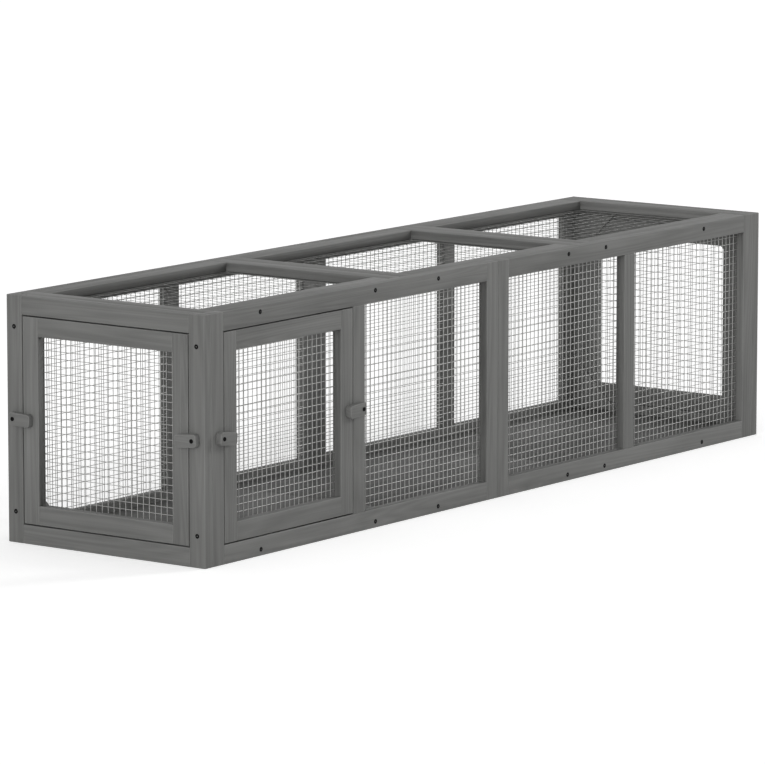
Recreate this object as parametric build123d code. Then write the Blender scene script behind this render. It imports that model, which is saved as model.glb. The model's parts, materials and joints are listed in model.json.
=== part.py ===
from build123d import *
import math
import os

# Cat tunnel: a long cage of timber frames and welded mesh, with a lift-out door at each
# end and one in the front. Each door seats on four corner stops and is held by two turn
# buttons. All sizes in mm. Frame: origin at the centre of the footprint on the ground,
# +X along the run to the right, +Y to the back, +Z up.

# Overall
LENGTH = 1600.0
WIDTH = 402.0
HEIGHT = 402.0

# Timber
BATTEN_W = 31.0  # face width of every batten
BATTEN_T = 18.0  # thickness of every frame
FLOOR_T = 15.0  # thickness of the floor boards
LEFT_HALF = 775.0  # length of the left panel of each side, the right one takes the rest
DOOR_OPENING = 340.0  # width of the front door opening
PANELS = 3  # panels in a row in the roof, and in the floor
PANEL_GAP = 0.4  # between neighbouring panels

# Stub tenons in the corners of every frame
TENON_L = 12.0
TENON_T = 7.0
TENON_FACE = 4.0  # timber in front of the tenon
TENON_SHOULDER = 5.0  # timber above and below the tenon
TENON_PLAY = 0.15  # gap all round a tenon in its mortise
TENON_END_PLAY = 0.5  # gap beyond a tenon's end

# Welded mesh, whose ends are let into a saw kerf near each frame's inner face
WIRE = 1.0
PITCH = 12.0
ROOF_WIRE = 0.6
ROOF_PITCH = 25.0
KERF_DEPTH = 4.0
KERF_PLAY = 0.2
KERF_LIP = 1.5  # timber between the kerf and the inner face
WIRE_END_PLAY = 1.0  # from a wire's end to the kerf's bottom

# Doors and their corner stops
DOOR_GAP = 2.2
STOP_PLAY = 0.3  # from a door's inner face to the stops
STOP_T = 5.0
STOP_REACH = 67.0  # along an edge of the opening, from its corner

# Turn buttons
BUTTON_L = 42.0
BUTTON_W = 21.0
BUTTON_T = 11.0
BUTTON_CORNER = 3.0
BUTTON_END = 8.0  # from the pivot to the button's outer end
BUTTON_PLAY = 0.3  # from the button to the face behind it
BUTTON_RISE = 2.0  # of the pivots above half height
PIVOT_R = 2.0
PIVOT_PLAY = 0.07
PIVOT_HEAD_R = 3.5
PIVOT_HEAD_H = 1.5
PIVOT_BITE = 14.0  # of the pivot screw in the timber

# Countersunk frame screws
SCREW_R = 1.75
SCREW_HEAD_R = 3.5
SCREW_HEAD_H = 3.0
SCREW_L = 40.0
TOP_SCREW_DROP = 11.0  # below the roof's top
LOW_SCREW_DROP = 4.5  # below the floor's top
END_SCREW_INSET = 51.0  # from the top and bottom of an end frame
# Two screws hold each roof and floor panel: their places from its left and right end
SCREW_INSETS = [(125.0, 91.0), (83.0, 60.0), (52.0, 162.0)]

# Where each turn button sits: from the opening's edge to its pivot, and how far the
# end on the door hangs down, in degrees, as each was left by hand
BUTTON_SEATS = {
    "left_end_button_back": (11.5, 3.5),
    "left_end_button_front": (13.5, 5.0),
    "front_button_left": (13.0, 6.5),
    "front_button_right": (12.5, 3.0),
    "right_end_button_front": (13.0, 4.0),
    "right_end_button_back": (13.0, 5.0),
}

# Places worked out from the sizes above
SIDE_INNER = WIDTH - 2 * BATTEN_T
RUN_START = -LENGTH / 2 + BATTEN_T
RUN_END = LENGTH / 2 - BATTEN_T
SEAM = RUN_START + LEFT_HALF
DOOR_T = BATTEN_T - STOP_PLAY
STOP_LAP = BATTEN_W - max(BATTEN_T, FLOOR_T)
STOP_LEG = STOP_REACH + 2 * STOP_LAP
PANEL_PITCH = (RUN_END - RUN_START + PANEL_GAP) / PANELS

# Each face of the tunnel as seen from outside: x across, y up, z out of the face
FRONT = Plane((0, -WIDTH / 2, 0), x_dir=(1, 0, 0), z_dir=(0, -1, 0))
BACK = Plane((0, WIDTH / 2, 0), x_dir=(-1, 0, 0), z_dir=(0, 1, 0))
LEFT_END = Plane((-LENGTH / 2, 0, 0), x_dir=(0, -1, 0), z_dir=(-1, 0, 0))
RIGHT_END = Plane((LENGTH / 2, 0, 0), x_dir=(0, 1, 0), z_dir=(1, 0, 0))
ROOF = Plane((0, 0, HEIGHT), x_dir=(1, 0, 0), z_dir=(0, 0, 1))


def block(across, up, depth):
    """A box in a face's own axes, from its spans across, up and in from the face."""
    size = (across[1] - across[0], up[1] - up[0], depth[1] - depth[0])
    return Solid.make_box(*size, Plane((across[0], up[0], -depth[1])))


def grow(span, by):
    """The span, longer by the same amount at both ends."""
    return (span[0] - by, span[1] + by)


def shape(member, add=(), cut=()):
    """The member with its tenons added and its mortises and kerfs cut."""
    if add:
        member = member.fuse(*add)
    if cut:
        member = member.cut(*cut)
    return member


def tenon_depth(play=0.0):
    return grow((TENON_FACE, TENON_FACE + TENON_T), play)


def end_tenons(member_across, member_up, along_up, play=0.0, end_play=0.0):
    """The tenons at both ends of a member, or the mortises for them when given play."""
    reach = TENON_L + end_play
    if along_up:
        section = grow(grow(member_across, -TENON_SHOULDER), play)
        low, high = member_up
        return [
            block(section, (low - reach, low), tenon_depth(play)),
            block(section, (high, high + reach), tenon_depth(play)),
        ]
    section = grow(grow(member_up, -TENON_SHOULDER), play)
    low, high = member_across
    return [
        block((low - reach, low), section, tenon_depth(play)),
        block((high, high + reach), section, tenon_depth(play)),
    ]


def mortises(member_across, member_up, along_up):
    return end_tenons(member_across, member_up, along_up, TENON_PLAY, TENON_END_PLAY)


def kerf_depth(thickness, wire):
    """How deep the kerf lies behind the outer face: two crossing wires and their play."""
    inner = thickness - KERF_LIP
    return (inner - 2 * wire - 2 * KERF_PLAY, inner)


def kerfs(across, up, thickness, wire):
    """The saw kerf round a bay: one cut for the crosswise wires, one for the upright."""
    depth = kerf_depth(thickness, wire)
    return [
        block(grow(across, KERF_DEPTH), up, depth),
        block(across, grow(up, KERF_DEPTH), depth),
    ]


def wire_places(span, pitch):
    """Wire centres over a span, at the mesh's pitch and centred."""
    count = math.floor((span[1] - span[0]) / pitch)
    middle = (span[0] + span[1]) / 2
    return [middle + (i - (count - 1) / 2) * pitch for i in range(count)]


def welded_mesh(across, up, thickness, wire, pitch):
    """Upright wires with crosswise wires welded on behind them, over one bay."""
    reach = KERF_DEPTH - WIRE_END_PLAY
    face = kerf_depth(thickness, wire)[0] + KERF_PLAY
    half = wire / 2
    wires = []
    for place in wire_places(across, pitch):
        depth = (face, face + wire)
        wires.append(block(grow((place, place), half), grow(up, reach), depth))
    for place in wire_places(up, pitch):
        depth = (face + wire, face + 2 * wire)
        wires.append(block(grow(across, reach), grow((place, place), half), depth))
    return wires


def framed_panel(across, up, mullion_starts=(), open_bays=(), thickness=BATTEN_T, mesh=(WIRE, PITCH)):
    """A frame of stiles, rails tenoned between them and mullions tenoned between the
    rails, with welded mesh in each bay that isn't left open."""
    left = (across[0], across[0] + BATTEN_W)
    right = (across[1] - BATTEN_W, across[1])
    bottom = (up[0], up[0] + BATTEN_W)
    top = (up[1] - BATTEN_W, up[1])
    rail_across = (left[1], right[0])
    inner_up = (bottom[1], top[0])
    mullions = [(start, start + BATTEN_W) for start in mullion_starts]
    uprights = [left, *mullions, right]
    bays = [(a[1], b[0]) for a, b in zip(uprights, uprights[1:])]
    meshed = [bay for i, bay in enumerate(bays) if i not in open_bays]
    depth = (0, thickness)

    slots = [cut for bay in meshed for cut in kerfs(bay, inner_up, thickness, mesh[0])]
    rail_mortises = [cut for rail in (bottom, top) for cut in mortises(rail_across, rail, False)]
    mullion_mortises = [cut for m in mullions for cut in mortises(m, inner_up, True)]

    def rail(rail_up):
        tenons = end_tenons(rail_across, rail_up, False)
        return shape(block(rail_across, rail_up, depth), tenons, mullion_mortises + slots)

    def upright(span):
        tenons = end_tenons(span, inner_up, True)
        return shape(block(span, inner_up, depth), tenons, slots)

    return {
        "left_stile": shape(block(left, up, depth), (), rail_mortises + slots),
        "right_stile": shape(block(right, up, depth), (), rail_mortises + slots),
        "bottom_rail": rail(bottom),
        "top_rail": rail(top),
        "mullions": [upright(m) for m in mullions],
        "meshes": [welded_mesh(bay, inner_up, thickness, *mesh) for bay in meshed],
        "bays": bays,
        "bay_up": inner_up,
    }


def door(opening, opening_up):
    return framed_panel(grow(opening, -DOOR_GAP), grow(opening_up, -DOOR_GAP), thickness=DOOR_T)


def corner_stops(opening, opening_up):
    """Four right-angled plates on the frame's inner face, behind a door's corners."""
    stops = []
    for across, inward in zip(opening, (1, -1)):
        for up, upward in zip(opening_up, (1, -1)):
            corner = (across - inward * STOP_LAP, up - upward * STOP_LAP)
            along = (corner[0] + inward * STOP_LEG, corner[1])
            above = (corner[0], corner[1] + upward * STOP_LEG)
            plate = make_face(Polyline(corner, along, above, close=True))
            stops.append(extrude(plate, STOP_T, dir=(0, 0, -1)).moved(Location((0, 0, -BATTEN_T))))
    return stops


def turn_button(pivot, towards, droop):
    """A block with its corners nipped off, its long end over the door and hanging down."""
    outline = Pos(BUTTON_L / 2 - BUTTON_END, 0) * Rectangle(BUTTON_L, BUTTON_W)
    outline = chamfer(outline.vertices(), BUTTON_CORNER)
    body = extrude(outline - Circle(PIVOT_R + PIVOT_PLAY), BUTTON_T)
    angle = -droop if towards > 0 else 180 + droop
    return Pos(*pivot, BUTTON_PLAY) * Rot(0, 0, angle) * body


def pivot_screw(pivot):
    """A pan-head screw through the button into the timber, round where the button turns."""
    top = BUTTON_PLAY + BUTTON_T
    shank = extrude(Pos(0, 0, -PIVOT_BITE) * Circle(PIVOT_R), PIVOT_BITE + top)
    head = extrude(Pos(0, 0, top) * RegularPolygon(PIVOT_HEAD_R, 8), PIVOT_HEAD_H)
    return Pos(*pivot, 0) * (shank + head)


def frame_screw(place):
    """A countersunk screw, flush with the face that it is driven into, in eight flats."""
    head = [RegularPolygon(SCREW_HEAD_R, 8), Pos(0, 0, -SCREW_HEAD_H) * RegularPolygon(SCREW_R, 8)]
    shank = Pos(0, 0, -SCREW_L) * RegularPolygon(SCREW_R, 8)
    screw = loft(head, ruled=True) + extrude(shank, SCREW_L - SCREW_HEAD_H, dir=(0, 0, 1))
    return Pos(*place, 0) * screw


def solids_of(shapes):
    """Every solid in a nested list of shapes."""
    if isinstance(shapes, (list, tuple)):
        return [solid for item in shapes for solid in solids_of(item)]
    return list(shapes.solids())


nodes = {}


def add(name, face, *shapes):
    """Puts shapes made on one face of the tunnel into a node."""
    placed = [solid.moved(face.location) for solid in solids_of(shapes)]
    nodes.setdefault(name, []).extend(placed)


def panel_spans():
    """The equal panels in a row between the end frames."""
    starts = [RUN_START + i * PANEL_PITCH for i in range(PANELS)]
    return [(start, start + PANEL_PITCH - PANEL_GAP) for start in starts]


def side_spans(side):
    """Spans, stile and mullion places of a side's two panels, seen from outside.
    The back shows the same members as the front, so its places run the other way."""
    first_mullion = RUN_START + BATTEN_W + DOOR_OPENING
    right_start = SEAM + PANEL_GAP
    right_bay = (RUN_END - right_start - 3 * BATTEN_W) / 2
    second_mullion = right_start + BATTEN_W + right_bay
    panels = [((RUN_START, SEAM), first_mullion), ((right_start, RUN_END), second_mullion)]
    if side == "front":
        return panels
    return [((-span[1], -span[0]), -mullion - BATTEN_W) for span, mullion in panels]


def build_side(side, face):
    """One long side: two framed panels edge to edge, the front's first bay for a door."""
    up = (0, HEIGHT)
    outer, middle = ("left", "right") if side == "front" else ("right", "left")
    (left_span, left_mullion), (right_span, right_mullion) = side_spans(side)
    open_bays = (0,) if side == "front" else ()
    left = framed_panel(left_span, up, [left_mullion], open_bays)
    right = framed_panel(right_span, up, [right_mullion])
    add(f"{side}_left_stile", face, left[f"{outer}_stile"])
    add(f"{side}_middle_stiles", face, left[f"{middle}_stile"], right[f"{outer}_stile"])
    add(f"{side}_right_stile", face, right[f"{middle}_stile"])
    add(f"{side}_top_rails", face, left["top_rail"], right["top_rail"])
    add(f"{side}_bottom_rails", face, left["bottom_rail"], right["bottom_rail"])
    add(f"{side}_mullions", face, left["mullions"], right["mullions"])
    meshes = left["meshes"] + right["meshes"]
    names = {3: ["left", "middle", "right"], 4: ["first", "second", "third", "fourth"]}
    ordered = sorted(meshes, key=lambda wires: wires[0].moved(face.location).center().X)
    for name, wires in zip(names[len(meshes)], ordered):
        add(f"{side}_mesh_{name}", face, wires)
    if side == "front":
        add_door("front", face, left["bays"][0], left["bay_up"])


def add_door(name, face, opening, opening_up):
    """A door with its corner stops, turn buttons and pivot screws."""
    leaf = door(opening, opening_up)
    add(f"{name}_door_stiles", face, leaf["left_stile"], leaf["right_stile"])
    add(f"{name}_door_rails", face, leaf["bottom_rail"], leaf["top_rail"])
    add(f"{name}_door_mesh", face, leaf["meshes"])
    add(f"{name}_corner_stops", face, corner_stops(opening, opening_up))
    height = HEIGHT / 2 + BUTTON_RISE
    ends = {"front": ("left", "right"), "left_end": ("back", "front"), "right_end": ("front", "back")}
    for end, edge, outward in zip(ends[name], opening, (-1, 1)):
        inset, droop = BUTTON_SEATS[f"{name}_button_{end}"]
        pivot = (edge + outward * inset, height)
        add(f"{name}_button_{end}", face, turn_button(pivot, -outward, droop))
        add("turn_button_screws", face, pivot_screw(pivot))


def build_end(name, face):
    """An end frame whose whole bay is the door opening."""
    frame = framed_panel((-WIDTH / 2, WIDTH / 2), (0, HEIGHT), open_bays=(0,))
    add(f"{name}_stiles", face, frame["left_stile"], frame["right_stile"])
    add(f"{name}_rails", face, frame["bottom_rail"], frame["top_rail"])
    add_door(name, face, frame["bays"][0], frame["bay_up"])
    side = WIDTH / 2 - BATTEN_W / 2
    for across in (-side, side):
        for up in (END_SCREW_INSET, HEIGHT - END_SCREW_INSET):
            add(f"{name}_screws", face, frame_screw((across, up)))


def build_roof():
    """Framed, lightly meshed panels in a row, set flush between the walls' top rails."""
    cross_names = ["left_cross_member", "first_seam_cross_members"]
    cross_names += ["second_seam_cross_members", "right_cross_member"]
    mesh_names = ["left", "middle", "right"]
    for i, span in enumerate(panel_spans()):
        up = (-SIDE_INNER / 2, SIDE_INNER / 2)
        panel = framed_panel(span, up, mesh=(ROOF_WIRE, ROOF_PITCH))
        add(f"roof_{cross_names[i]}", ROOF, panel["left_stile"])
        add(f"roof_{cross_names[i + 1]}", ROOF, panel["right_stile"])
        add("roof_front_rails", ROOF, panel["bottom_rail"])
        add("roof_back_rails", ROOF, panel["top_rail"])
        add(f"roof_mesh_{mesh_names[i]}", ROOF, panel["meshes"])


def build_floor():
    """Solid boards under the roof panels, flush with the walls' underside."""
    for name, span in zip(["left", "middle", "right"], panel_spans()):
        board = block(span, (-SIDE_INNER / 2, SIDE_INNER / 2), (-FLOOR_T, 0))
        add(f"floor_{name}", Plane.XY, board)


def build_side_screws(side, face, facing):
    """Screws through a side's rails into the edges of the roof and floor panels."""
    for span, insets in zip(panel_spans(), SCREW_INSETS):
        for x in (span[0] + insets[0], span[1] - insets[1]):
            for up in (FLOOR_T - LOW_SCREW_DROP, HEIGHT - TOP_SCREW_DROP):
                add(f"{side}_screws", face, frame_screw((facing * x, up)))


build_side("front", FRONT)
build_side("back", BACK)
build_side_screws("front", FRONT, 1)
build_side_screws("back", BACK, -1)
build_end("left_end", LEFT_END)
build_end("right_end", RIGHT_END)
build_roof()
build_floor()

os.makedirs("parts", exist_ok=True)
for name, solids in nodes.items():
    export_step(Compound(children=solids), f"parts/{name}.step")
    print(f"{name}: {len(solids)} solids")
print(f"{len(nodes)} nodes, {sum(len(solids) for solids in nodes.values())} solids")
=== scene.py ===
# %% [markdown]
# # A cat tunnel in stained timber and welded mesh
# The real thing is a long cage: grey-stained softwood battens screwed into frames, welded
# wire let into them, a boarded floor and three doors that lift out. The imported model
# already has every batten and wire at its true place, so this lesson keeps those places
# and gives each piece the softened edge, the grain and the wire section of the real one.

# %% Load the frame
import json
import math
import random

import bmesh
import bpy
from mathutils import Matrix, Vector


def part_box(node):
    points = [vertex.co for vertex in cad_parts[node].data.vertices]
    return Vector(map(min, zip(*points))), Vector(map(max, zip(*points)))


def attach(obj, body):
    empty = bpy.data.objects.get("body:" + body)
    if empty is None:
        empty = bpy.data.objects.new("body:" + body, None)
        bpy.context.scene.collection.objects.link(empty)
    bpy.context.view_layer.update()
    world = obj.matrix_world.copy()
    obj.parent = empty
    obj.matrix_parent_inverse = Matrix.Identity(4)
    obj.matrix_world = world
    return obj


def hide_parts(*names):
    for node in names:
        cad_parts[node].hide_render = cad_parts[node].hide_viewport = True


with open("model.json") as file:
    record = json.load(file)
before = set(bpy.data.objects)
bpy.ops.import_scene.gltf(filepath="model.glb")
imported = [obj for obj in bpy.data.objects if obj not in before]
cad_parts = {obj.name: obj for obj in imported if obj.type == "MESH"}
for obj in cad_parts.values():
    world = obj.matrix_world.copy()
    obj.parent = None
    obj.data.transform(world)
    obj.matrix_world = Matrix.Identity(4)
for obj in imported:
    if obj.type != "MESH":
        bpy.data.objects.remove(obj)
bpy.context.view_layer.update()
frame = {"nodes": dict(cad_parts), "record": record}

# %% [markdown]
# ## Which piece belongs where
# A door's timbers and its mesh have to move together, and the floor has to stay behind.
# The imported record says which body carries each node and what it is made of, so two small
# tables are read from it once, and nothing about a piece is typed in twice.

# %% Look up bodies and slots
MM = 0.001

body_of_node = {}
for body, names in frame["record"]["behaviour"]["bodies"].items():
    for name in names:
        body_of_node[name] = body
slot_of_node = {part["node"]: part["material_slot"] for part in frame["record"]["subparts"]}


def nodes_in(*slots):
    """The nodes whose record slot is one of these, in name order."""
    return sorted(name for name, slot in slot_of_node.items() if slot in slots)


print("slots:", ", ".join(sorted(set(slot_of_node.values()))))

# %% [markdown]
# ## Working on a copy
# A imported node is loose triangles. To work on its shape we copy it, merge the corners
# that meet and dissolve the inner edges of its flat faces, which gives clean boards back.
# Drawing every board afresh would also work, but its place and length would then have to
# be kept in step by hand. A node often holds several boards, so we also need a way to
# tell one from the next: boards that share no corner are separate islands.

# %% Copy a node into clean boards
WELD = 0.01 * MM
FLAT = math.radians(1)


def clean_copy(node):
    """The node's mesh as a bmesh of whole flat faces."""
    bm = bmesh.new()
    bm.from_mesh(frame["nodes"][node].data)
    bmesh.ops.remove_doubles(bm, verts=bm.verts[:], dist=WELD)
    bmesh.ops.dissolve_limit(bm, angle_limit=FLAT, verts=bm.verts[:], edges=bm.edges[:])
    bm.normal_update()
    bm.faces.layers.float.new("edge")
    return bm


def islands(bm):
    """The separate boards in a mesh, each a list of its corners."""
    left = set(bm.verts)
    found = []
    for start in bm.verts:
        if start not in left:
            continue
        left.discard(start)
        island = [start]
        for corner in island:
            for edge in corner.link_edges:
                other = edge.other_vert(corner)
                if other in left:
                    left.discard(other)
                    island.append(other)
        found.append(island)
    return found


sample = clean_copy("left_end_stiles")
print("left_end_stiles:", len(islands(sample)), "boards,", len(sample.faces), "flat faces")
sample.free()

# %% [markdown]
# ## Standing in for the imported piece
# A finished copy becomes an object at the origin that takes over from its node. It rides
# on the same body, so that it moves with its door. Plain smooth shading would blur the
# boards' corners, and flat shading would show each strip of a rounded edge, so only edges
# that turn sharply are kept sharp.

# %% Put a finished mesh in the node's place
SMOOTH_BELOW = 40


def finish_piece(bm, name, node, material, smooth_below=SMOOTH_BELOW):
    """Makes the bmesh an object that stands for its node and rides on its body.

    Edges that turn by fewer degrees than smooth_below are shaded smooth.
    """
    mesh = bpy.data.meshes.new(name)
    bm.to_mesh(mesh)
    bm.free()
    mesh.materials.append(material)
    mesh.polygons.foreach_set("use_smooth", [True] * len(mesh.polygons))
    mesh.set_sharp_from_angle(angle=math.radians(smooth_below))
    piece = bpy.data.objects.new(name, mesh)
    bpy.context.scene.collection.objects.link(piece)
    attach(piece, body_of_node[node])
    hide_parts(node)
    return piece


print("edges under", SMOOTH_BELOW, "degrees are shaded smooth")

# %% [markdown]
# ## Grain that follows each board
# On a real frame the grain runs along every batten, whichever way it points, and no two
# battens match. One material can do that if each board carries its own coordinates: an
# attribute whose first number runs along the board, shifted by a chance amount for each.
# A second attribute gives each board a shade of its own. Unwrapping every board by hand
# would give the same, with far more work.

# %% Give each board its own grain coordinates
# How far a board's grain may be shifted along each axis, in metres.
FURTHEST_SHIFT = 40


def board_axes(island):
    """The board's axes, longest first."""
    spans = []
    for axis in range(3):
        places = [corner.co[axis] for corner in island]
        spans.append((max(places) - min(places), axis))
    return [axis for _, axis in sorted(spans, reverse=True)]


def write_grain(bm, seed):
    """Stores each corner's place in its own board's axes, and a shade for the board."""
    grain = bm.verts.layers.float_vector.new("grain")
    shade = bm.verts.layers.float.new("shade")
    dice = random.Random(seed)
    for island in islands(bm):
        axes = board_axes(island)
        shift = Vector([dice.uniform(0, FURTHEST_SHIFT) for _ in range(3)])
        tone = dice.uniform(0, 1)
        for corner in island:
            corner[grain] = Vector([corner.co[axis] for axis in axes]) + shift
            corner[shade] = tone


sample = clean_copy("front_top_rails")
print("the front's top rails run along", "XYZ"[board_axes(islands(sample)[0])[0]])
sample.free()

# %% [markdown]
# ## Softened edges
# Stained battens never have a razor edge: the planer and the sander leave a round of
# about a millimetre, and that round catches the light. A Bevel modifier would round the
# hidden pockets of the joints too, where it tears. So we find the edges that lie on two
# outer planes of a board, and bevel only those. The new faces are marked, and the stain
# reads that mark to wear thin there.

# %% Find the outer edges of a board
BOARD_ROUND = 1.1 * MM
SAME_PLANE = 0.05 * MM
SQUARE_ON = 0.99
# Places are rounded to a hundredth of a millimetre before they are compared.
PLACE_DIGITS = 5


def outer_planes(island):
    """For each axis, the two places where the board's largest faces lie."""
    faces = dict.fromkeys(face for corner in island for face in corner.link_faces)
    planes = []
    for axis in range(3):
        area = {-1: {}, 1: {}}
        for face in faces:
            side = face.normal[axis]
            if abs(side) > SQUARE_ON:
                place = round(face.calc_center_median()[axis], PLACE_DIGITS)
                table = area[1 if side > 0 else -1]
                table[place] = table.get(place, 0) + face.calc_area()
        planes.append([max(area[s], key=area[s].get) if area[s] else None for s in (-1, 1)])
    return planes


def outer_edges(island, planes):
    """The edges of the island that lie on outer planes of two axes."""
    edges = dict.fromkeys(edge for corner in island for edge in corner.link_edges)
    kept = []
    for edge in edges:
        on = 0
        for axis in range(3):
            a, b = edge.verts[0].co[axis], edge.verts[1].co[axis]
            for plane in planes[axis]:
                if plane is not None and abs(a - plane) < SAME_PLANE and abs(b - plane) < SAME_PLANE:
                    on += 1
        if on == 2 and edge.calc_length() > 2 * BOARD_ROUND:
            kept.append(edge)
    return kept


sample = clean_copy("left_end_stiles")
stile = islands(sample)[0]
print("one stile has", len(outer_edges(stile, outer_planes(stile))), "outer edges to round")
sample.free()

# %% Round the edges and mark them
def soften(bm, edges, width, segments=2):
    """Bevels the edges, and marks the new faces so that the stain can wear there."""
    made = bmesh.ops.bevel(
        bm, geom=edges, offset=width, offset_type="OFFSET", segments=segments, profile=0.5,
        affect="EDGES", clamp_overlap=False, material=-1,
    )
    worn = bm.faces.layers.float["edge"]
    for face in made["faces"]:
        face[worn] = 1.0


sample = clean_copy("left_end_stiles")
stile = islands(sample)[0]
flat_faces = len(sample.faces)
soften(sample, outer_edges(stile, outer_planes(stile)), BOARD_ROUND)
print("rounding one stile adds", len(sample.faces) - flat_faces, "faces")
sample.free()

# %% [markdown]
# ## The stain
# The finish is a water-based grey that lets the grain through: long, soft streaks, a
# little lighter where the sander raised the fibres, darker in the pores. A photographed
# texture would repeat from board to board, so the streaks come from noise stretched along
# the grain. They are built once, as a group with named inputs, and every timber takes the
# group with its own values. First come a few helpers that keep the node code short.

# %% Make helpers for shader nodes
# The colour sockets of a Mix node share their names with its other sockets, so they are
# reached by number.
MIX_FIRST, MIX_SECOND, MIX_RESULT = 6, 7, 2


def new_group(name, inputs, outputs):
    """An empty node group with these named sockets."""
    group = bpy.data.node_groups.new(name, "ShaderNodeTree")
    for label, kind, value in inputs:
        socket = group.interface.new_socket(name=label, in_out="INPUT", socket_type=kind)
        socket.default_value = value
    for label, kind in outputs:
        group.interface.new_socket(name=label, in_out="OUTPUT", socket_type=kind)
    return group


def add_node(tree, kind, **settings):
    node = tree.nodes.new(kind)
    for key, value in settings.items():
        setattr(node, key, value)
    return node


def feed(tree, socket, value):
    """Sets the socket to a number, or links it to another socket."""
    if isinstance(value, (int, float)):
        socket.default_value = value
    else:
        tree.links.new(value, socket)


def calculate(tree, operation, a, b):
    """One step of arithmetic on two sockets or numbers."""
    node = add_node(tree, "ShaderNodeMath", operation=operation)
    feed(tree, node.inputs[0], a)
    feed(tree, node.inputs[1], b)
    return node.outputs[0]


def noise(tree, vector, scale, detail, rough=0.5, distort=0.0):
    node = add_node(tree, "ShaderNodeTexNoise")
    node.inputs["Scale"].default_value = scale
    node.inputs["Detail"].default_value = detail
    node.inputs["Roughness"].default_value = rough
    node.inputs["Distortion"].default_value = distort
    tree.links.new(vector, node.inputs["Vector"])
    return node.outputs["Fac"]


def blend(tree, share, first, second):
    """Runs from the first colour at nought to the second at one."""
    node = add_node(tree, "ShaderNodeMix", data_type="RGBA")
    tree.links.new(share, node.inputs["Factor"])
    for place, colour in ((MIX_FIRST, first), (MIX_SECOND, second)):
        if isinstance(colour, tuple):
            node.inputs[place].default_value = (*colour, 1)
        else:
            tree.links.new(colour, node.inputs[place])
    return node.outputs[MIX_RESULT]


def new_material(name):
    """A material, its node tree and its Principled shader."""
    material = bpy.data.materials.new(name)
    material.use_nodes = True
    tree = material.node_tree
    return material, tree, tree.nodes["Principled BSDF"]


print("node helpers ready")

# %% [markdown]
# ## The patterns in the grain
# Softwood shows several patterns at once. Year rings make wide pale flames, fibres make
# fine lines, and the stain takes in blotches. Each is one noise, with few waves along the
# board and many across it. The rings fold a slow noise back and forth, which gives nested
# lines as a sawn board has.

# %% Stretch one noise for each pattern
# Waves a metre along the board and across it, then detail, roughness and distortion.
GRAIN_PATTERNS = {
    "growth": (1.1, 24, 1, 0.4, 0.3),
    "flames": (1.8, 120, 2, 0.5, 0.5),
    "broad": (2.6, 42, 2, 0.5, 0.3),
    "fine": (12, 620, 4, 0.6, 0.0),
    "blotch": (7, 16, 2, 0.5, 0.0),
    "pores": (60, 2200, 2, 0.5, 0.0),
}
RING_FOLDS = 15


def board_pattern(tree, grain, name):
    """One noise, stretched along the board."""
    along, across, detail, rough, distort = GRAIN_PATTERNS[name]
    stretch = add_node(tree, "ShaderNodeMapping")
    stretch.inputs["Scale"].default_value = (along, across, across)
    tree.links.new(grain, stretch.inputs["Vector"])
    return noise(tree, stretch.outputs["Vector"], 1.0, detail, rough, distort)


def grain_patterns(tree):
    """Every pattern of the grain by name, with the rings folded from the growth."""
    grain = add_node(tree, "ShaderNodeAttribute", attribute_name="grain").outputs["Vector"]
    found = {name: board_pattern(tree, grain, name) for name in GRAIN_PATTERNS}
    folded = calculate(tree, "PINGPONG", calculate(tree, "MULTIPLY", found["growth"], RING_FOLDS), 0.5)
    found["rings"] = calculate(tree, "MULTIPLY", folded, 2)
    return found


print("grain patterns:", ", ".join(GRAIN_PATTERNS), "and rings")

# %% [markdown]
# ## From patterns to a stained board
# The stain's colour runs between a dark and a worn grey. A weighted sum of the patterns
# pushes it one way or the other, the board's own shade shifts the whole board, and the
# marked edges wear towards the paler grey, more where the wood is blotchy. The fine lines
# also set how rough the surface is, and pores and rings give a slight relief.

# %% Build the stained-grain group
COLOUR_SHARES = {"rings": 0.1, "flames": 0.26, "broad": 0.2, "fine": 0.22, "blotch": 0.22}
LEAST_ROUGH, ROUGH_SPREAD = 0.45, 0.25
PORE_RELIEF, RING_RELIEF = 0.35, 0.4


def attribute(tree, name):
    """A number stored on the mesh."""
    return add_node(tree, "ShaderNodeAttribute", attribute_name=name).outputs["Fac"]


def swing(tree, value, amount):
    """A value from nought to one, centred on nought and scaled."""
    return calculate(tree, "MULTIPLY", calculate(tree, "SUBTRACT", value, 0.5), amount)


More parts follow.
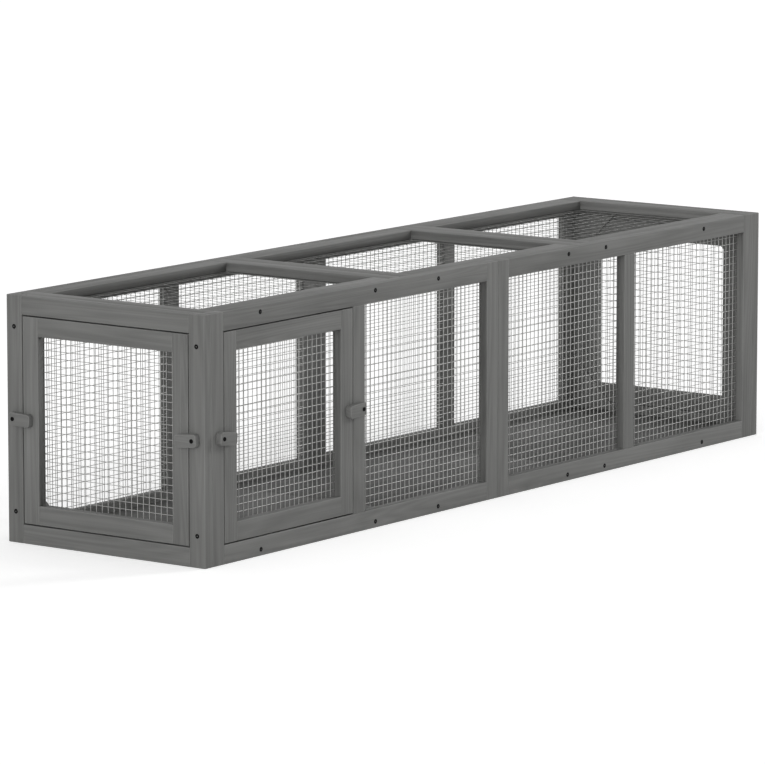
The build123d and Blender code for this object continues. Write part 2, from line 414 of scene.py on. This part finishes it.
def stained_grain():
    """Colour, roughness and height of stained softwood, from a board's grain coordinates."""
    group = new_group(
        "stained_grain",
        [
            ("Stain", "NodeSocketColor", (0.16, 0.16, 0.15, 1)),
            ("Worn", "NodeSocketColor", (0.2, 0.2, 0.19, 1)),
            ("Streaks", "NodeSocketFloat", 1.0),
            ("Board shade", "NodeSocketFloat", 0.2),
            ("Edge wear", "NodeSocketFloat", 0.3),
        ],
        [("Color", "NodeSocketColor"), ("Roughness", "NodeSocketFloat"), ("Height", "NodeSocketFloat")],
    )
    inputs = add_node(group, "NodeGroupInput").outputs
    outputs = add_node(group, "NodeGroupOutput").inputs
    patterns = grain_patterns(group)

    lines = None
    for name, share in COLOUR_SHARES.items():
        part = calculate(group, "MULTIPLY", patterns[name], share)
        lines = part if lines is None else calculate(group, "ADD", lines, part)
    streak = swing(group, lines, inputs["Streaks"])
    board = swing(group, attribute(group, "shade"), inputs["Board shade"])
    patch = calculate(group, "MULTIPLY", attribute(group, "edge"), inputs["Edge wear"])
    wear = calculate(group, "MULTIPLY", patch, calculate(group, "ADD", patterns["blotch"], 0.5))
    lift = calculate(group, "ADD", calculate(group, "ADD", streak, board), wear)
    clamp = add_node(group, "ShaderNodeClamp")
    group.links.new(calculate(group, "ADD", lift, 0.5), clamp.inputs["Value"])
    colour = blend(group, clamp.outputs[0], inputs["Stain"], inputs["Worn"])
    group.links.new(colour, outputs["Color"])

    spread = calculate(group, "MULTIPLY", patterns["fine"], ROUGH_SPREAD)
    group.links.new(calculate(group, "ADD", spread, LEAST_ROUGH), outputs["Roughness"])

    pores = calculate(group, "MULTIPLY", patterns["pores"], PORE_RELIEF)
    ridges = calculate(group, "MULTIPLY", patterns["rings"], RING_RELIEF)
    relief = calculate(group, "ADD", calculate(group, "ADD", patterns["fine"], pores), ridges)
    group.links.new(relief, outputs["Height"])
    return group


grain_group = stained_grain()
print("stained_grain has", len(grain_group.nodes), "nodes")

# %% [markdown]
# ## Two stained timbers
# Battens and floor boards carry the same stain, but the floor's is darker. The
# stain is matte, so the shader's specular level is low: seen at a grazing angle, a glossy
# top edge would turn white under the studio's light.

# %% Stain the timbers
GRAIN_BUMP = 0.2
GRAIN_DEPTH = 0.3 * MM
MATTE_STAIN = 0.12


def timber_material(name, values):
    """A stained timber. The values go to the group's inputs of the same names."""
    material, tree, surface = new_material(name)
    group = add_node(tree, "ShaderNodeGroup")
    group.node_tree = grain_group
    for label, value in values.items():
        group.inputs[label].default_value = value
    tree.links.new(group.outputs["Color"], surface.inputs["Base Color"])
    tree.links.new(group.outputs["Roughness"], surface.inputs["Roughness"])
    relief = add_node(tree, "ShaderNodeBump")
    relief.inputs["Strength"].default_value = GRAIN_BUMP
    relief.inputs["Distance"].default_value = GRAIN_DEPTH
    tree.links.new(group.outputs["Height"], relief.inputs["Height"])
    tree.links.new(relief.outputs["Normal"], surface.inputs["Normal"])
    surface.inputs["Specular IOR Level"].default_value = MATTE_STAIN
    return material


batten_stain = timber_material("grey_stained_batten", {
    "Stain": (0.123, 0.124, 0.12, 1),
    "Worn": (0.241, 0.242, 0.235, 1),
    "Streaks": 2.2,
    "Board shade": 0.14,
    "Edge wear": 0.3,
})
floor_stain = timber_material("grey_stained_floor_board", {
    "Stain": (0.075, 0.076, 0.073, 1),
    "Worn": (0.165, 0.165, 0.16, 1),
    "Streaks": 2.2,
    "Board shade": 0.12,
    "Edge wear": 0.2,
})
print("stained:", batten_stain.name, "and", floor_stain.name)

# %% [markdown]
# ## Battens, doors and floor
# Stiles run the full height, rails are tenoned between them, and the doors are built the
# same way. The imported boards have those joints, so each is a clean copy with its outer
# edges rounded. Floor boards are thinner and get a finer round. Boards lie along their
# longest side, so the grain follows them without being told.

# %% Dress the battens and the floor
FLOOR_ROUND = 0.6 * MM


def dress_timber(node, material, width):
    bm = clean_copy(node)
    edges = []
    for island in islands(bm):
        edges += outer_edges(island, outer_planes(island))
    soften(bm, edges, width)
    write_grain(bm, node)
    return finish_piece(bm, f"{node}_wood", node, material)


for node in nodes_in("frame_timber", "door_timber"):
    dress_timber(node, batten_stain, BOARD_ROUND)
for node in nodes_in("floor_boards"):
    dress_timber(node, floor_stain, FLOOR_ROUND)
print("timbers dressed:", len(nodes_in("frame_timber", "door_timber", "floor_boards")))

# %% [markdown]
# ## Corner stops
# A door seats against thin triangles of timber fixed across the corners of its opening.
# They have no joints, so every sharp edge is an outer one. Those are picked by the angle
# between their faces and given a small round.

# %% Dress the corner stops
STOP_ROUND = 0.5 * MM
SHARP = math.radians(30)


def sharp_edges(bm):
    """The edges where two faces turn sharply away from each other."""
    return [e for e in bm.edges if len(e.link_faces) == 2 and e.calc_face_angle_signed(0) > SHARP]


def dress_stops(node):
    bm = clean_copy(node)
    soften(bm, sharp_edges(bm), STOP_ROUND)
    write_grain(bm, node)
    return finish_piece(bm, f"{node}_wood", node, batten_stain)


for node in nodes_in("corner_stops"):
    dress_stops(node)
print("sets of corner stops dressed:", len(nodes_in("corner_stops")))

# %% [markdown]
# ## Turn buttons
# A turn button is a small block, sawn and then rounded over on a sander, and held by one
# screw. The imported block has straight-nipped corners and a hole for the screw. A wide
# bevel beside that hole would tear, and the screw's head covers it, so the block is drawn
# again without it: its outline as one face, the corners rounded, the face pulled out to
# the block's thickness, and then both rims softened.

# %% Redraw the turn buttons
CORNER_ROUND = 1.8 * MM
RIM_ROUND = 1.1 * MM
HOLE_EDGE = 3 * MM
ON_FACE = 0.1 * MM
BUTTON_SMOOTH_BELOW = 50


def ordered(points):
    """Points of one flat loop, in order round their middle."""
    middle = sum(points, Vector()) / len(points)
    first = (points[0] - middle).normalized()
    normal = max((first.cross(p - middle) for p in points), key=lambda n: n.length).normalized()
    side = normal.cross(first)
    return sorted(points, key=lambda p: math.atan2((p - middle).dot(side), (p - middle).dot(first)))


def point_outwards(bm):
    """Turns every face of a closed mesh outwards."""
    bmesh.ops.recalc_face_normals(bm, faces=bm.faces[:])
    if bm.calc_volume(signed=True) < 0:
        bmesh.ops.reverse_faces(bm, faces=bm.faces[:])


def button_outline(node, across, back):
    """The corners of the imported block's back face, without the hole's."""
    source = clean_copy(node)
    hole = {v for e in sharp_edges(source) if e.calc_length() < HOLE_EDGE for v in e.verts}
    near = [v for v in source.verts if v not in hole and abs(v.co[across] - back) < ON_FACE]
    outline = ordered([v.co.copy() for v in near])
    source.free()
    return outline


def dress_button(node):
    low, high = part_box(node)
    size = high - low
    across = min(range(3), key=lambda axis: size[axis])
    thickness = Vector([size[axis] if axis == across else 0 for axis in range(3)])
    bm = bmesh.new()
    bm.faces.layers.float.new("edge")
    bm.faces.new([bm.verts.new(point) for point in button_outline(node, across, low[across])])
    bmesh.ops.bevel(
        bm, geom=bm.verts[:], offset=CORNER_ROUND, offset_type="OFFSET", segments=3, profile=0.5,
        affect="VERTICES", clamp_overlap=True, material=-1,
    )
    grown = bmesh.ops.extrude_face_region(bm, geom=bm.faces[:])["geom"]
    front = [v for v in grown if isinstance(v, bmesh.types.BMVert)]
    bmesh.ops.translate(bm, verts=front, vec=thickness)
    point_outwards(bm)
    rims = [e for e in sharp_edges(bm) if abs((e.verts[0].co - e.verts[1].co)[across]) < ON_FACE]
    soften(bm, rims, RIM_ROUND, 3)
    write_grain(bm, node)
    return finish_piece(bm, f"{node}_wood", node, batten_stain, BUTTON_SMOOTH_BELOW)


for node in nodes_in("turn_buttons"):
    dress_button(node)
print("turn buttons redrawn:", len(nodes_in("turn_buttons")))

# %% [markdown]
# ## Welded wire
# The mesh is round galvanised wire, one layer across the other and sunk into it a little
# where the weld fused them. A texture with holes would look flat from the side, so every
# wire is real. Each packed wire is a long thin box whose centre line is known, and an
# eight-sided cylinder laid along it is enough: hundreds of wires stay light. Zinc lies on
# the side wires as a thin coat. The roof's wire is thinner, and its zinc is painted a
# darker grey as painted shade, so that it sinks into the shaded inside seen through it.

# %% Galvanise the wire
SPANGLES = 900
ZINC_METAL = 0.4
ZINC_LEAST_ROUGH, ZINC_ROUGH_SPREAD = 0.3, 0.3


def galvanised(name, dull, bright):
    """Zinc-coated steel, mottled between two greys."""
    material, tree, surface = new_material(name)
    place = add_node(tree, "ShaderNodeTexCoord").outputs["Object"]
    spangle = noise(tree, place, SPANGLES, 3, 0.6)
    tree.links.new(blend(tree, spangle, dull, bright), surface.inputs["Base Color"])
    spread = calculate(tree, "MULTIPLY", spangle, ZINC_ROUGH_SPREAD)
    rough = calculate(tree, "ADD", spread, ZINC_LEAST_ROUGH)
    tree.links.new(rough, surface.inputs["Roughness"])
    surface.inputs["Metallic"].default_value = ZINC_METAL
    return material


side_wire = galvanised("galvanised_wire", (0.31, 0.31, 0.3), (0.5, 0.5, 0.49))
# The roof's zinc is painted darker than the sides': painted shade, so its wires sink into the shaded
# inside.
roof_wire = galvanised("roof_wire_painted_shade", (0.15, 0.15, 0.145), (0.26, 0.26, 0.25))
print("wire finishes:", side_wire.name, "and", roof_wire.name)

# %% Roll the wires
ZINC_COAT = 0.06 * MM
WIRE_WELD = 0.001 * MM
WIRE_SIDES = 8


def wire_line(island):
    """A packed wire's two ends, on its centre line, and its radius."""
    places = [corner.co for corner in island]
    low = Vector([min(place[axis] for place in places) for axis in range(3)])
    high = Vector([max(place[axis] for place in places) for axis in range(3)])
    size = high - low
    along = max(range(3), key=lambda axis: size[axis])
    middle = (low + high) / 2
    half = Vector([size[along] / 2 if axis == along else 0 for axis in range(3)])
    return middle - half, middle + half, min(size) / 2


def stand_along(start, end):
    """A matrix that stands a cylinder along the line from start to end."""
    turn = (end - start).to_track_quat("Z", "Y").to_matrix().to_4x4()
    return Matrix.Translation((start + end) / 2) @ turn


def roll_wires(node, material, coat):
    """Makes the node's wires round, and says how many there are."""
    source = bmesh.new()
    source.from_mesh(frame["nodes"][node].data)
    bmesh.ops.remove_doubles(source, verts=source.verts[:], dist=WIRE_WELD)
    bm = bmesh.new()
    boxes_found = islands(source)
    for island in boxes_found:
        start, end, radius = wire_line(island)
        bmesh.ops.create_cone(
            bm, cap_ends=True, cap_tris=False, segments=WIRE_SIDES, radius1=radius + coat,
            radius2=radius + coat, depth=(end - start).length, matrix=stand_along(start, end),
        )
    source.free()
    finish_piece(bm, f"{node}_wire", node, material)
    return len(boxes_found)


wires = 0
for node in nodes_in("mesh"):
    if node.startswith("roof"):
        wires += roll_wires(node, roof_wire, 0)
    else:
        wires += roll_wires(node, side_wire, ZINC_COAT)
print("wires rolled:", wires)

# %% [markdown]
# ## Screws
# The screws are black with a crossed recess: low domes on the frames, thicker pan heads
# on the turn buttons. At a few paces they are dots, but a close look finds the cross. A
# spun outline can't carry a cross, and cutting one with a Boolean leaves ragged faces. So
# a screw is a stack of rings bridged one to the next, and the last ring is the cross,
# which is then pulled down into the head.

# %% Blacken the screws
BLACK, WORN_BLACK = (0.002, 0.002, 0.002), (0.008, 0.008, 0.008)
SPECKS = 1500
OXIDE_LEAST_ROUGH, OXIDE_ROUGH_SPREAD = 0.35, 0.2
MATTE_OXIDE = 0.06


def screw_material():
    """Black oxide, nearly without a shine."""
    material, tree, surface = new_material("black_oxide_screw")
    place = add_node(tree, "ShaderNodeTexCoord").outputs["Object"]
    speck = noise(tree, place, SPECKS, 2)
    tree.links.new(blend(tree, speck, BLACK, WORN_BLACK), surface.inputs["Base Color"])
    spread = calculate(tree, "MULTIPLY", speck, OXIDE_ROUGH_SPREAD)
    rough = calculate(tree, "ADD", spread, OXIDE_LEAST_ROUGH)
    tree.links.new(rough, surface.inputs["Roughness"])
    surface.inputs["Specular IOR Level"].default_value = MATTE_OXIDE
    return material


black_screw = screw_material()
print("screw finish:", black_screw.name)

# %% Outline the two screws
# Radius and height of each ring in millimetres. Heights count down from the outer face.
DOME_HEAD = ((3.9, -0.2), (3.9, 0.15), (3.3, 0.5), (2.1, 0.7))
PAN_HEAD = ((3.4, -1.5), (3.6, -1.1), (3.3, -0.4), (2.2, 0))
FRAME_SCREW = {"point": 0.3, "shank": 1.7, "taper": 6, "neck": -3, "head": DOME_HEAD}
PIVOT_SCREW = {"point": 0.4, "shank": 2, "taper": 4, "neck": -1.5, "head": PAN_HEAD}


def screw_profile(screw, length):
    """The rings of a screw this long, from its point to the top of its head."""
    tip = -length / MM
    shank = [(screw["shank"], screw["taper"] + tip), (screw["shank"], screw["neck"])]
    rings = [(screw["point"], tip), *shank, *screw["head"]]
    return [(radius * MM, height * MM) for radius, height in rings]


print("rings in a frame screw:", len(screw_profile(FRAME_SCREW, 35 * MM)))

# %% Shape a screw from rings
RING_SIDES = 24
CROSS_ARM = 1.75 * MM
CROSS_SINK = 1.3 * MM
CROSS_HALF_WIDTH = 0.3
FLOOR_ARM, FLOOR_HALF_WIDTH = 0.6, 0.2


def ring(bm, radius, height):
    made = bmesh.ops.create_circle(bm, cap_ends=False, radius=radius, segments=RING_SIDES)
    bmesh.ops.translate(bm, verts=made["verts"], vec=(0, 0, height))
    return made["verts"]


def cross(bm, arm, half, height):
    """The twelve corners of a cross: three on one arm, turned four times."""
    corners = []
    for quarter in range(4):
        turn = Matrix.Rotation(quarter * math.pi / 2, 3, "Z")
        for x, y in ((arm, -half), (arm, half), (half, half)):
            corners.append(bm.verts.new(turn @ Vector((x, y, height))))
    for one, other in zip(corners, corners[1:] + corners[:1]):
        bm.edges.new((one, other))
    return corners


def rim(corners):
    """The edges between these corners, always in the same order."""
    mine = set(corners)
    return list(dict.fromkeys(e for c in corners for e in c.link_edges if e.other_vert(c) in mine))


def build_screw(bm, place, profile):
    """One screw: rings from its tip to its head, and a cross sunk into the head's top."""
    first = len(bm.verts)
    loops = [ring(bm, radius, height) for radius, height in profile]
    top = profile[-1][1]
    arm = CROSS_ARM
    loops.append(cross(bm, arm, CROSS_HALF_WIDTH * arm, top))
    loops.append(cross(bm, FLOOR_ARM * arm, FLOOR_HALF_WIDTH * arm, top - CROSS_SINK))
    ends = rim(loops[0]), rim(loops[-1])
    for lower, upper in zip(loops, loops[1:]):
        bmesh.ops.bridge_loops(bm, edges=rim(lower) + rim(upper))
    for end in ends:
        bmesh.ops.edgeloop_fill(bm, edges=end)
    bm.verts.ensure_lookup_table()
    bmesh.ops.transform(bm, matrix=place, verts=bm.verts[first:])


sample = bmesh.new()
build_screw(sample, Matrix.Identity(4), screw_profile(FRAME_SCREW, 35 * MM))
print("one frame screw has", len(sample.faces), "faces")
sample.free()

# %% Find each packed screw
def reach(island, middle, axis, end):
    """How far from the screw's axis its corners at this end lie."""
    furthest = 0
    for corner in island:
        if abs(corner.co[axis] - end) < ON_FACE:
            offset = corner.co - middle
            offset[axis] = 0
            furthest = max(furthest, offset.length)
    return furthest


def head_frame(island):
    """Where a packed screw's head ends, looking out along its axis, and its length."""
    spans = []
    for axis in range(3):
        places = [corner.co[axis] for corner in island]
        spans.append((max(places) - min(places), axis, min(places), max(places)))
    length, axis, low, high = max(spans)
    middle = Vector([(span[2] + span[3]) / 2 for span in spans])
    head_is_high = reach(island, middle, axis, high) > reach(island, middle, axis, low)
    tip = middle.copy()
    tip[axis] = high if head_is_high else low
    out = Vector((0, 0, 0))
    out[axis] = 1 if head_is_high else -1
    return Matrix.Translation(tip) @ out.to_track_quat("Z", "Y").to_matrix().to_4x4(), length


sample = clean_copy("front_screws")
print("front_screws:", len(islands(sample)), "screws")
sample.free()

# %% Drive the screws
SCREW_SMOOTH_BELOW = 35


def drive_screws(node):
    """Puts a screw in the place of each packed one, and says how many there are."""
    source = clean_copy(node)
    bm = bmesh.new()
    dice = random.Random(node)
    screw = PIVOT_SCREW if "turn_button" in node else FRAME_SCREW
    found = islands(source)
    for island in found:
        place, length = head_frame(island)
        place = place @ Matrix.Rotation(dice.uniform(0, math.pi / 2), 4, "Z")
        build_screw(bm, place, screw_profile(screw, length))
    source.free()
    point_outwards(bm)
    finish_piece(bm, f"{node}_turned", node, black_screw, SCREW_SMOOTH_BELOW)
    return len(found)


print("screws driven:", sum(drive_screws(node) for node in nodes_in("screws")))

# %% [markdown]
# ## A white studio
# The photograph has a white ground that still holds the tunnel's shadow. Turning up the
# lamps until the floor clips would wash out the stain and the wires. Instead the floor
# is a plain pale grey to the light, and its material and the world look brighter only to
# the rays that the camera, a gloss or a clear pane sends out.

# %% Lay the floor
WORLD_LIGHT = 0.5
FLOOR_LIFT = 0.51
FLOOR_COLOUR = (0.8, 0.8, 0.8, 1)
FLOOR_ROUGH = 0.9
FLOOR_SPAN = 40
WHITE = (1, 1, 1, 1)


def shown_rays(tree):
    """One where a camera, glossy or transmission ray looks, nought for the rest."""
    path = add_node(tree, "ShaderNodeLightPath").outputs
    straight = calculate(tree, "MAXIMUM", path["Is Camera Ray"], path["Is Glossy Ray"])
    return calculate(tree, "MAXIMUM", straight, path["Is Transmission Ray"])


def floor_material():
    """A pale floor that shows white where the light is open, and keeps its shadow."""
    material, tree, surface = new_material("pale_floor")
    surface.inputs["Base Color"].default_value = FLOOR_COLOUR
    surface.inputs["Roughness"].default_value = FLOOR_ROUGH
    surface.inputs["Emission Color"].default_value = WHITE
    lift = calculate(tree, "MULTIPLY", shown_rays(tree), FLOOR_LIFT)
    tree.links.new(lift, surface.inputs["Emission Strength"])
    return material


bm = bmesh.new()
bmesh.ops.create_grid(bm, x_segments=1, y_segments=1, size=FLOOR_SPAN)
floor_mesh = bpy.data.meshes.new("studio_floor")
bm.to_mesh(floor_mesh)
bm.free()
floor_mesh.materials.append(floor_material())
studio_floor = bpy.data.objects.new("studio_floor", floor_mesh)
bpy.context.scene.collection.objects.link(studio_floor)
print("floor laid,", 2 * FLOOR_SPAN, "m square")

# %% Light the world
world = bpy.data.worlds.new("studio")
world.use_nodes = True
bpy.context.scene.world = world
tree = world.node_tree
background = tree.nodes["Background"]
background.inputs["Color"].default_value = WHITE
seen = calculate(tree, "MULTIPLY", shown_rays(tree), 1 - WORLD_LIGHT)
tree.links.new(calculate(tree, "ADD", seen, WORLD_LIGHT), background.inputs["Strength"])
print("world light", WORLD_LIGHT)

# %% [markdown]
# ## Two lamps
# In the photograph the left end, the front and the top are nearly as bright as each
# other, where a lamp overhead would make the top the brightest. So both lamps shine in
# low: a wide, soft fill from the left end, and a key from the front right that brings out
# the edges. Sun lamps are used, because a panel near one end would fade along 1.6 m of
# tunnel.

# %% Hang the lamps
KEY_LEVEL = 0.27
KEY_FROM = (0.8, -0.4, 0.36)
KEY_SOFT = 12
FILL_LEVEL = 0.51
FILL_FROM = (-0.95, -0.3, 0.08)
FILL_SOFT = 40


def add_lamp(name, towards, level, softness):
    """A sun lamp that shines from the direction given, as wide as softness in degrees."""
    data = bpy.data.lights.new(name, "SUN")
    data.energy = math.pi * level
    data.angle = math.radians(softness)
    lamp = bpy.data.objects.new(name, data)
    lamp.rotation_euler = Vector(towards).to_track_quat("Z", "Y").to_euler()
    bpy.context.scene.collection.objects.link(lamp)
    return lamp


lamps = [
    add_lamp("key_from_front_right", KEY_FROM, KEY_LEVEL, KEY_SOFT),
    add_lamp("fill_from_left_end", FILL_FROM, FILL_LEVEL, FILL_SOFT),
]
print("lamps:", ", ".join(lamp.name for lamp in lamps))

# %% [markdown]
# ## The camera
# The tunnel's long edges hardly close in on each other, so the picture was taken with a
# long lens from far off. Guessing such a view by eye takes many tries. Here the camera
# was fitted to the frame's own corners in the photograph, which gave its place, how far
# it is turned from the front and tilted down, and its focal length in pixels.

# %% Set the camera
CAMERA_PLACE = (-7.377, -5.402, 1.610)
CAMERA_TURN = 53.56
CAMERA_TILT = 8.91
FOCAL_PIXELS = 5449
PICTURE = 765
SENSOR = 36

camera_data = bpy.data.cameras.new("camera")
camera_data.sensor_width = SENSOR
camera_data.lens = SENSOR * FOCAL_PIXELS / PICTURE
camera_data.clip_end = 100
camera = bpy.data.objects.new("camera", camera_data)
turn, tilt = math.radians(CAMERA_TURN), math.radians(CAMERA_TILT)
level = math.cos(tilt)
forward = Vector((math.sin(turn) * level, math.cos(turn) * level, -math.sin(tilt)))
camera.location = CAMERA_PLACE
camera.rotation_euler = forward.to_track_quat("-Z", "Y").to_euler()
bpy.context.scene.collection.objects.link(camera)
bpy.context.scene.camera = camera
bpy.context.scene.view_settings.view_transform = "Standard"
print("lens", round(camera_data.lens, 1), "mm")
